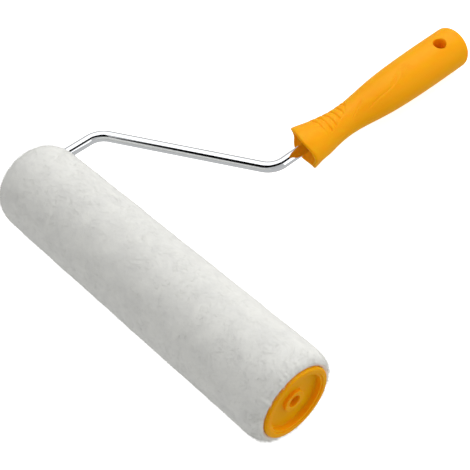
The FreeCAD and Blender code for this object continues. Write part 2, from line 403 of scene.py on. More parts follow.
def new_material(name: str) -> tuple[bpy.types.Material, bpy.types.NodeTree, Socket]:
    """Starts a material with no nodes but its output and a texture place.

    Args:
        name: The material's name.

    Returns:
        The material, its node tree and the piece's own coordinates in metres.
    """
    material = bpy.data.materials.new(name)
    material.use_nodes = True
    tree = material.node_tree
    tree.nodes.clear()
    place = add_node(tree, "ShaderNodeTexCoord").outputs["Object"]
    return material, tree, place


def finish_material(tree: bpy.types.NodeTree, settings: dict, links: dict) -> None:
    """Adds the surface shader with its settings and links, and joins it to the output."""
    shader = add_node(tree, "ShaderNodeBsdfPrincipled", settings, links)
    add_node(tree, "ShaderNodeOutputMaterial", links={"Surface": shader.outputs["BSDF"]})


def blend_colours(tree: bpy.types.NodeTree, share: Socket, low: str, high: str) -> Socket:
    """Blends two hex colours by a share from 0 to 1, and gives the colour's socket."""
    ramp = add_node(tree, "ShaderNodeMix", {"data_type": "RGBA", 6: linear(low), 7: linear(high)}, {0: share})
    return ramp.outputs[2]


@dataclass(frozen=True)
class MouldedPolypropylene:
    """Orange polypropylene, injection moulded in a finely eroded steel mould.

    The eroded mould leaves a fine even grain that spreads each highlight into a soft satin patch, and
    the pigment flows a little unevenly, which shows as faint clouds of deeper orange.
    """

    name: str = "moulded_polypropylene_orange"
    colour: str = "#FFAC00"
    deep_colour: str = "#FFA500"
    roughness: float = 0.46
    grain_mm: float = 0.7  # the real grain is near 0.1 mm; drawn coarse enough to show
    cloud_mm: float = 22.0

    def material(self) -> bpy.types.Material:
        """Makes the material."""
        material, tree, place = new_material(self.name)
        cloud = add_node(tree, NOISE, {"Scale": per_metre(self.cloud_mm), "Detail": 3.0}, {"Vector": place})
        grain = add_node(tree, NOISE, {"Scale": per_metre(self.grain_mm), "Detail": 2.0}, {"Vector": place})
        colour = blend_colours(tree, cloud.outputs[0], self.colour, self.deep_colour)
        gloss = add_node(
            tree,
            RANGE,
            {"To Min": self.roughness - 0.05, "To Max": self.roughness + 0.07},
            {"Value": grain.outputs[0]},
        )
        bump = add_node(tree, BUMP, {"Strength": 0.12, "Distance": 0.05 * MM}, {"Height": grain.outputs[0]})
        finish_material(
            tree,
            {"IOR": 1.49, "Specular IOR Level": 0.08, "Subsurface Weight": 0.6, "Subsurface Scale": 6 * MM},
            {"Base Color": colour, "Roughness": gloss.outputs[0], "Normal": bump.outputs[0]},
        )
        return material


@dataclass(frozen=True)
class KnittedPlush:
    """Off-white microfibre pile on a knitted backing, sheared and brushed.

    Thousands of fine fibres scatter light evenly, so the pile is matt with a pale sheen at grazing
    angles. Brushing leaves clumps that lean different ways and catch the light unevenly; their shade
    is painted into the colour as soft grey mottles.
    """

    name: str = "knitted_plush_white"
    colour: str = "#EDEDE8"
    shade_colour: str = "#E4E4E0"
    mottle_mm: float = 11.0
    lock_mm: float = 2.6

    def material(self) -> bpy.types.Material:
        """Makes the material."""
        material, tree, place = new_material(self.name)
        mottle = add_node(
            tree,
            NOISE,
            {"Scale": per_metre(self.mottle_mm), "Detail": 3.0, "Roughness": 0.55, "Distortion": 0.6},
            {"Vector": place},
        )
        lock = add_node(
            tree,
            NOISE,
            {"Scale": per_metre(self.lock_mm), "Detail": 3.0, "Roughness": 0.6, "Distortion": 0.8},
            {"Vector": place},
        )
        settings = {"operation": "MULTIPLY_ADD", 1: 0.35}
        both = add_node(tree, "ShaderNodeMath", settings, {0: lock.outputs[0], 2: mottle.outputs[0]})
        share = add_node(tree, RANGE, {"From Min": 0.45, "From Max": 0.85}, {"Value": both.outputs[0]})
        # Painted shade: the colour darkens in soft mottles that stand for clumps leaning away from the light.
        colour = blend_colours(tree, share.outputs[0], self.shade_colour, self.colour)
        bump = add_node(tree, BUMP, {"Strength": 0.2, "Distance": 0.3 * MM}, {"Height": lock.outputs[0]})
        finish_material(
            tree,
            {"Roughness": 0.95, "Specular IOR Level": 0.15, "Sheen Weight": 0.25, "Sheen Roughness": 0.6},
            {"Base Color": colour, "Normal": bump.outputs[0]},
        )
        return material


@dataclass(frozen=True)
class BrightChromePlate:
    """Cold-drawn mild steel bar, plated in bright chrome.

    The plate mirrors the studio in long sharp bands down each straight, and faint lengthwise
    unevenness from the drawing die keeps the bands from looking machined.
    """

    name: str = "chrome_plate_bright"
    colour: str = "#E4E6E8"
    roughness: float = 0.07
    draw_mm: float = 9.0

    def material(self) -> bpy.types.Material:
        """Makes the material."""
        material, tree, place = new_material(self.name)
        drawn = add_node(tree, NOISE, {"Scale": per_metre(self.draw_mm), "Detail": 2.0}, {"Vector": place})
        gloss = add_node(
            tree,
            RANGE,
            {"To Min": self.roughness - 0.03, "To Max": self.roughness + 0.03},
            {"Value": drawn.outputs[0]},
        )
        tone = blend_colours(tree, drawn.outputs[0], self.colour, "#D9DBDE")
        finish_material(tree, {"Metallic": 1.0}, {"Base Color": tone, "Roughness": gloss.outputs[0]})
        return material


@dataclass(frozen=True)
class MouldedNylon:
    """Natural nylon, moulded plain: a milky ivory with a waxy, slightly uneven gloss."""

    name: str = "moulded_nylon_natural"
    colour: str = "#EAE4D2"
    flow_mm: float = 4.0

    def material(self) -> bpy.types.Material:
        """Makes the material."""
        material, tree, place = new_material(self.name)
        flow = add_node(tree, NOISE, {"Scale": per_metre(self.flow_mm), "Detail": 3.0}, {"Vector": place})
        colour = blend_colours(tree, flow.outputs[0], self.colour, "#DCD5C0")
        gloss = add_node(tree, RANGE, {"To Min": 0.32, "To Max": 0.5}, {"Value": flow.outputs[0]})
        finish_material(tree, {"IOR": 1.53}, {"Base Color": colour, "Roughness": gloss.outputs[0]})
        return material


@dataclass(frozen=True)
class TemperedSpringSteel:
    """Thin spring steel, stamped and tempered: a blue-grey oxide with fine rolling lines."""

    name: str = "spring_steel_tempered"
    colour: str = "#6E7378"
    rolling_mm: float = 0.4

    def material(self) -> bpy.types.Material:
        """Makes the material."""
        material, tree, place = new_material(self.name)
        lines = add_node(tree, "ShaderNodeMapping", {"Scale": (1.0, 1.0, 0.08)}, {"Vector": place})
        rolling = add_node(
            tree,
            NOISE,
            {"Scale": per_metre(self.rolling_mm), "Detail": 2.0},
            {"Vector": lines.outputs[0]},
        )
        tone = blend_colours(tree, rolling.outputs[0], self.colour, "#555B66")
        gloss = add_node(tree, RANGE, {"To Min": 0.28, "To Max": 0.42}, {"Value": rolling.outputs[0]})
        finish_material(tree, {"Metallic": 1.0}, {"Base Color": tone, "Roughness": gloss.outputs[0]})
        return material


@dataclass(frozen=True)
class ExtrudedPolypropylene:
    """White polypropylene tube, extruded: pale and satin, with faint die lines along its length."""

    name: str = "extruded_polypropylene_white"
    colour: str = "#E6E6E2"
    die_line_mm: float = 0.9

    def material(self) -> bpy.types.Material:
        """Makes the material."""
        material, tree, place = new_material(self.name)
        drawn_out = add_node(tree, "ShaderNodeMapping", {"Scale": (0.02, 1.0, 1.0)}, {"Vector": place})
        lines = add_node(
            tree,
            NOISE,
            {"Scale": per_metre(self.die_line_mm), "Detail": 2.0},
            {"Vector": drawn_out.outputs[0]},
        )
        colour = blend_colours(tree, lines.outputs[0], self.colour, "#D2D3CF")
        bump = add_node(tree, BUMP, {"Strength": 0.2, "Distance": 0.05 * MM}, {"Height": lines.outputs[0]})
        finish_material(
            tree, {"IOR": 1.49, "Roughness": 0.45}, {"Base Color": colour, "Normal": bump.outputs[0]}
        )
        return material


@dataclass(frozen=True)
class PaintedFloor:
    """A studio floor in matt white paint, lit from within so that it stays evenly white."""

    name: str = "studio_floor_white"
    colour: str = "#D8D8D6"
    glow: float = 0.8

    def material(self) -> bpy.types.Material:
        """Makes the material."""
        material, tree, place = new_material(self.name)
        worn = add_node(tree, NOISE, {"Scale": per_metre(400), "Detail": 2.0}, {"Vector": place})
        colour = blend_colours(tree, worn.outputs[0], self.colour, "#D5D5D3")
        finish_material(
            tree,
            {"Roughness": 0.9, "Emission Color": (1, 1, 1, 1), "Emission Strength": self.glow},
            {"Base Color": colour},
        )
        return material


def dress(piece: bpy.types.Object, material: bpy.types.Material, body: Body) -> None:
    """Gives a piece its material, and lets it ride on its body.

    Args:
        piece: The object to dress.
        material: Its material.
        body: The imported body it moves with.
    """
    piece.data.materials.clear()
    piece.data.materials.append(material)
    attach(piece, body.value)
    LOG.info("%s: %d faces on body %s", piece.name, len(piece.data.polygons), body.value)


# ---------------------------------------------------------------- the cover


@dataclass
class PlushSleeve:
    """The pile on the cover: a brushed, clumped skin and the loose fibres that stand out of it."""

    layout: Layout
    core_radius: float = 24.0
    flange_radius: float = 24.7
    outer_radius: float = 32.5
    end_round: float = 13.0
    lip: float = 1.6
    skin_depth: float = 0.75  # the skin's mean level below the fibre tips
    grid: float = 0.74
    fibres_per_piece: int = 47000
    fibre_pieces: int = 3
    fibre_length: float = 1.9
    fibre_width: float = 0.10
    start: float = field(init=False)
    end: float = field(init=False)
    clumps: Waviness = field(init=False)
    combing: Waviness = field(init=False)

    def __post_init__(self) -> None:
        """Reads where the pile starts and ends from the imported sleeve."""
        self.start, self.end = self.layout.span("nap_sleeve")
        self.clumps = Waviness(11)
        self.combing = Waviness(23)

    def outline(self) -> tuple[Points, Points]:
        """Gives the pile's outside from lip to lip, evenly spaced, with its outward normals."""
        inner = self.flange_radius + self.lip
        turn = np.linspace(0, math.pi / 2, 60)
        rise = self.outer_radius - self.skin_depth - inner
        reach = self.start + self.end_round * (1 - np.cos(turn))
        left = np.stack([reach, inner + rise * np.sin(turn)], axis=1)
        right = np.stack([self.end - (left[::-1, 0] - self.start), left[::-1, 1]], axis=1)
        raw = np.concatenate([left, right])
        steps = np.linalg.norm(np.diff(raw, axis=0), axis=1)
        length = np.concatenate([[0], np.cumsum(steps)])
        even = np.linspace(0, length[-1], int(length[-1] / self.grid))
        points = np.stack([np.interp(even, length, raw[:, 0]), np.interp(even, length, raw[:, 1])], axis=1)
        along = np.gradient(points, axis=0)
        normals = np.stack([-along[:, 1], along[:, 0]], axis=1)
        return points, normals / np.linalg.norm(normals, axis=1)[:, None]

    def height(self, points: Points) -> Points:
        """Gives how far the brushed pile stands above or below its mean level.

        Args:
            points: Points on the smooth outside, in layout millimetres.

        Returns:
            The height at each point in millimetres.
        """
        drift = np.stack([self.combing.at(points + shift, 16.0) for shift in (0, 40, 80)], axis=1)
        warped = points + drift * 5.0
        way = drift + np.array([0.5, 0.3, 0.3])
        way /= np.linalg.norm(way, axis=1)[:, None]
        reaches = np.linspace(-2.7, 2.7, 7)
        streaks = sum(self.clumps.at(points + way * reach + 91, 1.5) for reach in reaches) / len(reaches)
        broad = self.clumps.at(warped, 17.0) * 0.24
        middle = self.clumps.at(warped + 31, 6.5) * 0.10
        fine = self.clumps.at(warped + 57, 2.8) * 0.04
        parting = self.combing.at(warped + 120, 21.0)
        masked = smooth_step(self.clumps.at(points + 150, 30.0), 0.05, 0.45)
        valley = -0.30 * np.exp(-((parting / 0.045) ** 2)) * masked
        return broad + middle + fine + streaks * 0.2 + valley + self.end_tufts(points)

    def end_tufts(self, points: Points) -> Points:
        """Gives the pleats that gather the pile into tufts where it meets each cap.

        Args:
            points: Points on the smooth outside, in layout millimetres.

        Returns:
            The height that the pleats add at each point, in millimetres.
        """
        from_end = np.minimum(points[:, 0] - self.start, self.end - points[:, 0])
        near = 1 - smooth_step(from_end, 0.5, 9.0)
        turn = np.arctan2(points[:, 2], points[:, 1])
        ring = np.stack([np.cos(turn) * 26, np.sin(turn) * 26, points[:, 0] * 0.15], axis=1)
        pleats = self.clumps.at(ring, 3.6) * 1.1 + self.clumps.at(ring + 60, 1.9) * 0.6
        strength = 0.45 + 1.0 * self.combing.at(ring + 20, 26.0)
        free_end = smooth_step(points[:, 0] - (self.start + self.end) / 2, -1, 1)
        return near * pleats * np.clip(strength, 0.15, 1.2) * (0.3 + 1.3 * free_end)

    def skin(self) -> bpy.types.Object:
        """Builds the closed skin of the pile, bonded to the core inside."""
        outside, normals = self.outline()
        inner = self.flange_radius + 0.15
        core_start, core_end = self.layout.span("core_tube")
        inside = np.array(
            [
                (self.end - 0.5, inner),
                (core_end, inner),
                (core_end, self.core_radius),
                (core_start, self.core_radius),
                (core_start, inner),
                (self.start + 0.5, inner),
            ]
        )
        columns = int(2 * math.pi * self.outer_radius / self.grid)
        rings = turned_about_x(outside, columns)
        facing = turned_about_x(normals, columns)
        rings = rings + facing * self.height(rings)[:, None]
        points = np.concatenate([rings, turned_about_x(inside, columns)])
        rows = len(outside) + len(inside)
        return make_piece("nap_skin", points, [grid_faces(rows, columns, loop_rows=True)], self.layout)

    def fibres(self, number: int) -> bpy.types.Object:
        """Builds one batch of loose fibres: fine closed spikes that lean the way the pile is brushed.

        Args:
            number: Which batch, which also seeds it.

        Returns:
            The batch as one object.
        """
        rng = np.random.default_rng(500 + number)
        outside, normals = self.outline()
        pick = rng.uniform(0, len(outside) - 1.001, self.fibres_per_piece)
        low = pick.astype(int)
        share = (pick - low)[:, None]
        station = outside[low] * (1 - share) + outside[low + 1] * share
        slope = normals[low] * (1 - share) + normals[low + 1] * share
        turn = rng.uniform(0, 2 * math.pi, self.fibres_per_piece)
        around = np.stack([np.zeros_like(turn), -np.sin(turn), np.cos(turn)], axis=1)
        outward = np.stack([slope[:, 0], slope[:, 1] * np.cos(turn), slope[:, 1] * np.sin(turn)], axis=1)
        seat = np.stack([station[:, 0], station[:, 1] * np.cos(turn), station[:, 1] * np.sin(turn)], axis=1)
        along = np.cross(around, outward)
        root = seat + outward * (self.height(seat) - 0.35)[:, None]
        swing = self.combing.at(seat + 200, 13.0) * 2.6 + self.clumps.at(seat + 240, 3.6) * 1.6
        swing = swing + rng.normal(0, 0.35, len(turn))
        from_end = np.minimum(seat[:, 0] - self.start, self.end - seat[:, 0])
        to_cap = (1 - smooth_step(from_end, 0, 12.0))[:, None]
        cap_way = np.sign(seat[:, 0:1] - (self.start + self.end) / 2) * np.array([[1.0, 0, 0]])
        comb = along * np.cos(swing)[:, None] + around * np.sin(swing)[:, None]
        comb = comb * (1 - to_cap * 0.7) + cap_way * to_cap * 0.7
        lean = np.clip(rng.normal(1.18, 0.10, len(turn)) + self.clumps.at(seat + 300, 6.0) * 0.12, 0.5, 1.4)
        heading = outward * np.cos(lean)[:, None] + comb * np.sin(lean)[:, None]
        heading /= np.linalg.norm(heading, axis=1)[:, None]
        length = self.fibre_length * rng.uniform(0.65, 1.2, len(turn)) * (1 + 0.3 * to_cap[:, 0])
        tip = root + heading * length[:, None]
        side = np.cross(heading, outward)
        side /= np.linalg.norm(side, axis=1)[:, None]
        back = np.cross(side, heading)
        half = self.fibre_width / 2
        base = [root + side * half, root - side * half, root + back * half * 1.2]
        points = np.stack(base + [tip], axis=1).reshape(-1, 3)
        first = np.arange(len(turn))[:, None] * 4
        faces = np.concatenate([first + np.array(f) for f in ((0, 1, 2), (0, 3, 1), (1, 3, 2), (2, 3, 0))])
        return make_piece(f"nap_fibres_{number}", points, [faces], self.layout)

    def build(self) -> None:
        """Builds the skin and the fibre batches, and dresses them."""
        material = KnittedPlush().material()
        skin = self.skin()
        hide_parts("nap_sleeve")
        dress(skin, material, Body.COVER)
        for number in range(1, self.fibre_pieces + 1):
            dress(self.fibres(number), material, Body.COVER)


@dataclass
class EndCap:
    """A moulded cap: rim with a raised land and a lower one, dished web, boss, hub and stiffening ribs."""

    layout: Layout
    end: End
    node: str
    web_depth: float
    boss_depth: float
    hub_length: float
    flange_radius: float = 24.7
    flange: float = 3.4
    land: float = 3.4
    step: float = 1.5
    step_drop: float = 0.7
    edge_round: float = 1.0
    spigot_radius: float = 22.25
    spigot_length: float = 13.0
    wall: float = 1.6
    hub_radius: float = 7.4
    bore_radius: float = 4.08
    rib_count: int = 6
    rib_width: float = 1.4
    rib_length: float = 8.0
    columns: int = 192

    def outline(self) -> Points:
        """Gives the cap's section as depth behind its face and radius, with moulded corner radii."""
        land = self.flange_radius - self.land
        dish = land - self.step
        spigot_end = self.flange + self.spigot_length
        inner = self.spigot_radius - self.wall
        hub_end = self.boss_depth + self.hub_length
        corners = [
            (self.boss_depth, self.bore_radius, 0.5),
            (self.boss_depth, self.hub_radius, 0.6),
            (self.web_depth, self.hub_radius, 0.5),
            (self.web_depth, dish, 0.9),
            (self.step_drop, dish, 0.35),
            (self.step_drop, land, 0.15),
            (0.0, land, 0.3),
            (0.0, self.flange_radius, self.edge_round),
            (self.flange, self.flange_radius, 0.2),
            (self.flange, self.spigot_radius, 0.0),
            (spigot_end, self.spigot_radius, 0.3),
            (spigot_end, inner, 0.3),
            (self.web_depth + self.wall, inner, 0.4),
            (self.web_depth + self.wall, self.hub_radius, 0.4),
            (hub_end, self.hub_radius, 0.3),
            (hub_end, self.bore_radius, 0.3),
        ]
        return round_corners(corners)

    def ribs(self) -> tuple[Points, np.ndarray]:
        """Gives the corner points and faces of the ribs behind the web, in depth, Y and Z."""
        start = self.web_depth + self.wall - 0.3
        stop = min(self.web_depth + self.wall / 2 + self.rib_length, self.flange + self.spigot_length - 0.5)
        low, high, half = self.hub_radius - 0.5, self.spigot_radius - self.wall + 0.5, self.rib_width / 2
        corners = np.array([(x, y, z) for x in (start, stop) for y in (low, high) for z in (-half, half)])
        box = np.array([(0, 1, 3, 2), (4, 6, 7, 5), (0, 4, 5, 1), (2, 3, 7, 6), (0, 2, 6, 4), (1, 5, 7, 3)])
        points, faces = [], []
        for index in range(self.rib_count):
            turn = 2 * math.pi * index / self.rib_count
            cos, sin = math.cos(turn), math.sin(turn)
            points.append(corners @ np.array([[1, 0, 0], [0, cos, -sin], [0, sin, cos]]).T)
            faces.append(box + 8 * index)
        return np.concatenate(points), np.concatenate(faces)

    def build(self, material: bpy.types.Material) -> None:
        """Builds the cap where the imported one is, and dresses it.

        Args:
            material: The moulded plastic.
        """
        face = self.layout.span(self.node)[1 if self.end is End.FREE else 0]
        outline = self.outline()
        body = turned_about_x(outline, self.columns)
        ribs, rib_faces = self.ribs()
        points = np.concatenate([body, ribs])
        points[:, 0] = face - self.end.value * points[:, 0]
        faces = [grid_faces(len(outline), self.columns, loop_rows=True), rib_faces + len(body)]
        cap = make_piece(f"{self.node}_moulding", points, faces, self.layout)
        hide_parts(self.node)
        dress(cap, material, Body.COVER)


# ---------------------------------------------------------------- the frame bar


@dataclass
class FrameBar:
    """One round bar, bent three times: axle, arm, cross bar and the shank inside the handle."""

    layout: Layout
    radius: float = 4.0
    axle_tip: float = 254.2
    arm_reach: float = 62.0
    handle_offset: float = 116.6
    cross_rise: float = 64.4
    shank_end: float = 238.0
    bends: tuple[float, float, float] = (12.0, 15.0, 15.0)
    chamfer: float = 0.8
    groove_at: float = 36.4
    groove_width: float = 0.9
    groove_depth: float = 0.5
    ear_from_end: float = 8.0
    ear_length: float = 12.0
    ear_rise: float = 1.5
    columns: int = 72

    def path(self) -> Points:
        """Gives the bar's centre line, in order from the axle's tip, close enough together to look smooth."""
        shoulder = self.arm_reach + self.cross_rise
        corners = np.array(
            [
                (self.axle_tip, 0),
                (0, 0),
                (0, self.arm_reach),
                (self.handle_offset, shoulder),
                (self.handle_offset, self.shank_end),
            ]
        )
        points = [corners[0]]
        for before, corner, after, radius in zip(corners, corners[1:], corners[2:], self.bends):
            back = (before - corner) / np.linalg.norm(before - corner)
            ahead = (after - corner) / np.linalg.norm(after - corner)
            half = math.acos(float(back @ ahead)) / 2
            centre = corner + (back + ahead) / np.linalg.norm(back + ahead) * radius / math.sin(half)
            start = corner + back * radius / math.tan(half) - centre
            finish = corner + ahead * radius / math.tan(half) - centre
            sweep = math.pi - 2 * half
            for share in np.linspace(0, 1, 25):
                spoke = start * math.sin((1 - share) * sweep) + finish * math.sin(share * sweep)
                points.append(centre + spoke / math.sin(sweep))
        points.append(corners[-1])
        return np.array(points)

    def stations(self) -> tuple[Points, Points, Points]:
        """Gives each ring's distance from the axle's tip, its centre and its direction."""
        path = self.path()
        steps = np.linalg.norm(np.diff(path, axis=0), axis=1)
        length = np.concatenate([[0], np.cumsum(steps)])
        groove = self.axle_tip - self.groove_at - self.groove_width
        ear = length[-1] - self.ear_from_end - self.ear_length
        marks = [
            np.arange(0, length[-1], 2.5),
            length,
            [self.chamfer, groove - 0.05, groove + 0.05, groove + self.groove_width - 0.05],
            [groove + self.groove_width + 0.05, length[-1] - self.chamfer],
            np.linspace(ear - 2, ear + self.ear_length + 2, 25),
        ]
        at = np.unique(np.round(np.concatenate(marks), 3))
        at = at[np.concatenate([[True], np.diff(at) > 0.04])]
        centre = np.stack([np.interp(at, length, path[:, 0]), np.interp(at, length, path[:, 1])], axis=1)
        way = np.gradient(path, length, axis=0)
        heading = np.stack([np.interp(at, length, way[:, 0]), np.interp(at, length, way[:, 1])], axis=1)
        return at, centre, heading / np.linalg.norm(heading, axis=1)[:, None]

    def build(self) -> None:
        """Builds the swept bar with its tip, groove and coined ears, and dresses it."""
        at, centre, heading = self.stations()
        total = at[-1]
        turn = np.linspace(0, 2 * math.pi, self.columns, endpoint=False)
        radius = np.full((len(at), self.columns), self.radius)
        ends = np.minimum(at, total - at)
        radius -= np.clip(self.chamfer - ends, 0, self.chamfer)[:, None]
        groove = self.axle_tip - self.groove_at - self.groove_width
        radius[(at > groove) & (at < groove + self.groove_width)] -= self.groove_depth
        ear = total - self.ear_from_end - self.ear_length
        ear_stop = ear + self.ear_length
        window = smooth_step(at, ear - 1.5, ear) * (1 - smooth_step(at, ear_stop, ear_stop + 1.5))
        sideways = np.exp(-((np.sin(turn) / 0.3) ** 2))
        radius += window[:, None] * sideways[None, :] * self.ear_rise
        side = np.stack([heading[:, 1], -heading[:, 0], np.zeros(len(at))], axis=1)
        line = np.concatenate([centre, np.zeros((len(at), 1))], axis=1)
        up = np.array([0, 0, 1.0])
        rings = (
            line[:, None]
            + side[:, None] * (radius * np.cos(turn))[:, :, None]
            + up * (radius * np.sin(turn))[:, :, None]
        )
        bar = make_tube("frame_bar", rings, [line[0], line[-1]], self.layout)
        bar.data.set_sharp_from_angle(angle=math.radians(35))
        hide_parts("frame_rod")
        dress(bar, BrightChromePlate().material(), Body.FRAME)


# ---------------------------------------------------------------- the handle


@dataclass
class HandleGrip:
    """The moulded handle: hollow flared mouth, ribbed thumb rest, swept grooves and hang hole.

    Distances run from the middle of the mouth, and angles round the handle from its thumb side towards
    the cover's free end.
    """

    layout: Layout
    offset: float = 116.6
    mouth: float = 156.0
    length: float = 163.0
    turn: float = 11.0
    mouth_radius: float = 17.1
    outside: tuple = (
        (-9.0, 18.2), (0.0, 17.1), (9.0, 15.3), (39.0, 11.45), (74.0, 14.4), (107.0, 16.3), (163.0, 16.7)
    )
    rim: tuple = (
        (-180, 4.5), (-150, 4.0), (-130, 4.6), (-112, 6.0), (-92, 5.0), (-68, 1.6), (-41, -3.0), (-13, -6.2),
        (13, -7.8), (37, -6.5), (72, -4.0), (105, -2.5), (130, 1.0), (158, 4.2), (180, 4.5),
    )
    rim_wall: float = 2.2
    rim_fade: float = 26.0
    funnel_depth: float = 10.0
    funnel_floor: float = 7.2
    seat_radius: float = 4.05
    seat_end: float = 82.05
    end_radius: float = 16.7
    end_round: float = 2.4
    hole_radius: float = 5.0
    hole_from_end: float = 21.0
    rib_pitch: float = 6.0
    rib_depth: float = 0.8
    leaf_start: float = 13.7
    leaf_angle: float = 38.0
    leaf_length: float = 37.5
    columns: int = 240
    step: float = 0.45

    def thumb_ribs(self, y: Points, angle: Points) -> Points:
        """Gives the ribbed leaf under the thumb: cushions between cross grooves, with a grooved edge.

        Args:
            y: Distance from the mouth at each point.
            angle: Angle round the handle in degrees.

        Returns:
            The height that it adds at each point, in millimetres.
        """
        front, point = self.leaf_start, self.leaf_angle
        back = front + self.leaf_length * (1 - np.exp(-np.clip(point - angle, 0, 400) / 38))
        side = smooth_step(angle, -92, -70) * (1 - smooth_step(angle, point - 2, point + 1))
        inside = smooth_step(y, front - 0.5, front + 0.5) * (1 - smooth_step(y - back, -0.5, 0.5))
        phase = (y - front + 0.02 * angle) / self.rib_pitch
        across = np.abs(phase - np.round(phase)) * self.rib_pitch
        grooves = np.exp(-((across / 0.75) ** 2)) * self.rib_depth
        edge = np.exp(-(((y - back) / 0.8) ** 2)) * 0.35 * side * smooth_step(y, front, front + 2)
        return inside * side * (0.2 - grooves) - edge

    def swept_grooves(self, y: Points, angle: Points) -> Points:
        """Gives the long swept grooves on the palm and the small patch of fine hatching between them.

        Args:
            y: Distance from the mouth at each point.
            angle: Angle round the handle in degrees.

        Returns:
            The height that they add at each point, in millimetres.
        """
        radius = 15.0
        long_line = curve_through(y, [(55, 42), (63, 33), (74, 27), (83, 23), (96, 4), (107, -8)])
        twin_line = curve_through(y, [(82, 20), (93, 3), (104, -13)])
        short_line = curve_through(y, [(40, 38), (48, 20), (56, 2)])
        depth = np.zeros_like(y)
        for line, start, stop, cut in (
            (long_line, 56, 106, 0.55),
            (twin_line, 83, 103, 0.45),
            (short_line, 41, 55, 0.45),
        ):
            away = np.radians(angle - line) * radius
            run = smooth_step(y, start - 3, start + 3) * (1 - smooth_step(y, stop - 3, stop + 3))
            depth -= np.exp(-((away / 0.7) ** 2)) * cut * run
        patch = smooth_step(y, 93, 95) * (1 - smooth_step(y, 106, 108))
        beside = np.radians(angle - long_line) * radius
        patch *= smooth_step(beside, 0.8, 1.4) * (1 - smooth_step(beside, 4.2, 4.8))
        lines = np.sin(2 * math.pi * (y + beside * 0.6) / 1.9)
        return depth - patch * np.clip(lines, 0, 1) * 0.4

    def guard_facet(self, y: Points, angle: Points) -> Points:
        """Gives the flat that cuts the flared mouth away beneath a crease on its side.

        Args:
            y: Distance from the mouth at each point.
            angle: Angle round the handle in degrees.

        Returns:
            The height that it adds at each point, in millimetres.
        """
        crease = 72 + np.clip(y + 4, 0, 20) * 1.5
        beyond = np.clip(angle - crease, 0, 40)
        fade = (1 - smooth_step(y, 6, 20)) * (1 - smooth_step(angle, 112, 150))
        return -fade * np.clip(beyond * 0.075, 0, 1.3)

    def sections(self) -> tuple[Points, Points, Points]:
        """Gives each ring's radius, its distance from the mouth, and how far it follows the rim's edge."""
        rows = [(0.0, self.seat_end, 0.0), (self.seat_radius, self.seat_end, 0.0)]
        rows += [(self.seat_radius, y, 0.0) for y in (60.0, 38.0, self.funnel_depth)]
        inner = self.mouth_radius - self.rim_wall
        for share in np.linspace(0, 1, 16):
            radius = self.funnel_floor + (inner - self.funnel_floor) * share
            rows.append((radius, self.funnel_depth * (1 - share), share))
        lip = self.rim_wall / 2
        for turn in np.linspace(0, math.pi, 13)[1:-1]:
            rows.append((inner + lip - lip * math.cos(turn), -lip * math.sin(turn), 1.0))
        last = self.length - self.end_round
        for y in np.linspace(0, last, int(last / self.step)):
            rows.append((-1.0, y, 1 - float(smooth_step(np.array(y), 0, self.rim_fade))))
        edge = self.end_radius - self.end_round
        for turn in np.linspace(0, math.pi / 2, 10)[1:]:
            rows.append((edge + self.end_round * math.cos(turn), last + self.end_round * math.sin(turn), 0.0))
        rows += [(share * edge, self.length, 0.0) for share in (0.9, 0.6, 0.3, 0.0)]
        return tuple(np.array(column) for column in zip(*rows))

    def shell(self) -> bpy.types.Object:
        """Builds the handle's surface from the seat's blind end, round the mouth, to the back end."""
        radius, y, follow = self.sections()
        angle = np.linspace(-180, 180, self.columns, endpoint=False)
        edge = curve_through(angle, list(self.rim))
        reach = y[:, None] + follow[:, None] * edge[None, :]
        angles = np.broadcast_to(angle, reach.shape)
        outer = radius < 0
        turned = np.repeat(radius[:, None], self.columns, axis=1)
        surface = curve_through(reach[outer], list(self.outside))
        relief = self.thumb_ribs(reach[outer], angles[outer])
        relief = relief + self.swept_grooves(reach[outer], angles[outer])
        turned[outer] = surface + relief + self.guard_facet(reach[outer], angles[outer])
        first_outer = int(np.argmax(outer))
        mouth_change = turned[first_outer] - self.mouth_radius
        for row in range(first_outer):
            turned[row] += mouth_change * follow[row]
        lean = np.radians(angles + self.turn)
        x = self.offset + turned * np.sin(lean)
        rings = np.stack([x, self.mouth + reach, turned * np.cos(lean)], axis=2)
        ends = [rings[0].mean(axis=0), rings[-1].mean(axis=0)]
        return make_tube("handle_moulding", rings[1:-1], ends, self.layout)

    def hole_cutter(self) -> bpy.types.Object:
        """Builds the hang hole's core pin, flared at both ends so that the hole's edges come out rounded."""
        half = 25.0
        skin = self.end_radius
        lip = np.linspace(skin - 2.4, skin + 0.4, 12)
        levels = np.concatenate([[-half], -lip[::-1], np.linspace(-12, 12, 7), lip, [half]])
        flare = 1.5 * smooth_step(np.abs(levels), skin - 2.0, skin + 1.0) ** 2
        turn = np.linspace(0, 2 * math.pi, 72, endpoint=False)
        radius = (self.hole_radius + flare)[:, None]
        lean = math.radians(self.turn)
        y = self.mouth + self.length - self.hole_from_end + radius * np.sin(turn)
        across = radius * np.cos(turn)
        level = np.repeat(levels[:, None], 72, axis=1)
        x = self.offset + across * math.cos(lean) + level * math.sin(lean)
        z = -across * math.sin(lean) + level * math.cos(lean)
        middle = self.mouth + self.length - self.hole_from_end
        ends = [(self.offset + s * half * math.sin(lean), middle, s * half * math.cos(lean)) for s in (-1, 1)]
        return make_tube("hole_core_pin", np.stack([x, y, z], axis=2), ends, self.layout)

